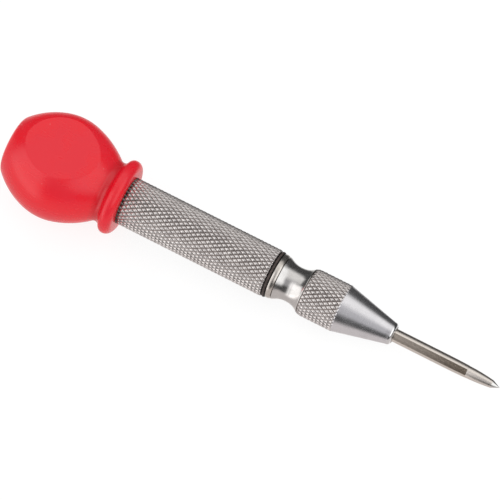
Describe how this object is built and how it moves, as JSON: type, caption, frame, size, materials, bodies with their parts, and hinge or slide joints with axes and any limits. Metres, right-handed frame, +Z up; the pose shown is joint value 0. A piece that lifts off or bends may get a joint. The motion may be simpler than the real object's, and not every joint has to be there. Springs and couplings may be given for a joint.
{
  "type": "automatic center punch",
  "caption": "Spring-loaded center punch with a plastic palm ball, knurled barrel, waisted neck, knurled nose cap and slim ground point.",
  "frame": {"origin": "the sharp tip of the punch, on the tool's axis", "axes": "+X along the tool's axis, out of the tip; the palm ball is at -X; the ball's two flats face +Z and -Z; +Z up as the tool lies on a bench"},
  "size_m": [0.1519, 0.0304, 0.0238],
  "materials": {
    "red_plastic": "moulded, satin",
    "knurled_steel": "diamond knurled, satin nickel",
    "turned_steel": "turned",
    "spring_steel": "drawn wire",
    "hardened_steel": "ground, hardened",
    "polished_steel": "polished, plated",
    "nickel_plate": "nickel plated",
    "black_rubber": "moulded rubber",
    "fibre": "pressed fibre",
    "satin_steel": "turned cone, diamond knurled ring",
    "tool_steel": "hardened, ground point"
  },
  "bodies": {
    "body": {"neck_body": "polished_steel", "thrust_washer": "nickel_plate", "o_ring": "black_rubber", "trip_bush": "hardened_steel", "buffer_washer": "fibre", "return_spring": "spring_steel"},
    "seat": {"spring_seat": "turned_steel", "main_spring": "spring_steel"},
    "sleeve": {"barrel_sleeve": "knurled_steel", "sleeve_plug": "turned_steel", "palm_ball": "red_plastic"},
    "nose_bush": {"guide_bush": "turned_steel"},
    "nose_cap": {"nose_cap": "satin_steel"},
    "point": {"point": "tool_steel", "trip_pin": "hardened_steel"},
    "hammer": {"hammer": "hardened_steel", "latch_spring": "spring_steel"},
    "latch": {"trip_latch": "hardened_steel"}
  },
  "joints": [
    {"name": "sleeve_travel", "type": "slide", "parent": "body", "child": "seat", "axis": [-1, 0, 0], "range_m": [0, 0.003]},
    {"name": "sleeve_turn", "type": "hinge", "parent": "seat", "child": "sleeve", "pos_m": [-0.09, 0, 0], "axis": [-1, 0, 0], "range_deg": [0, 1080]},
    {"name": "nose_travel", "type": "slide", "parent": "body", "child": "nose_bush", "axis": [1, 0, 0], "range_m": [0, 0.009], "deforming": ["return_spring"]},
    {"name": "nose_turn", "type": "hinge", "parent": "nose_bush", "child": "nose_cap", "pos_m": [-0.055, 0, 0], "axis": [1, 0, 0], "range_deg": [0, 3240]},
    {"name": "point_press", "type": "slide", "parent": "nose_bush", "child": "point", "axis": [-1, 0, 0], "range_m": [0, 0.011], "stiffness_N_per_m": 400, "springref_m": -0.003, "deforming": ["return_spring"]},
    {"name": "hammer_rise", "type": "slide", "parent": "body", "child": "hammer", "axis": [-1, 0, 0], "range_m": [0, 0.011], "deforming": ["main_spring"]},
    {"name": "latch_centre", "type": "slide", "parent": "hammer", "child": "latch", "axis": [0, -1, 0], "range_m": [0, 0.0004], "deforming": ["latch_spring"]}
  ],
  "couplings": [
    {"joint": "sleeve_turn", "follows": "sleeve_travel", "rad_per_m": 6283.2},
    {"joint": "nose_turn", "follows": "nose_travel", "rad_per_m": 6283.2},
    {"joint": "hammer_rise", "follows": "point_press", "ratio": 1},
    {"joint": "latch_centre", "follows": "point_press", "ratio": 0.036364}
  ]
}
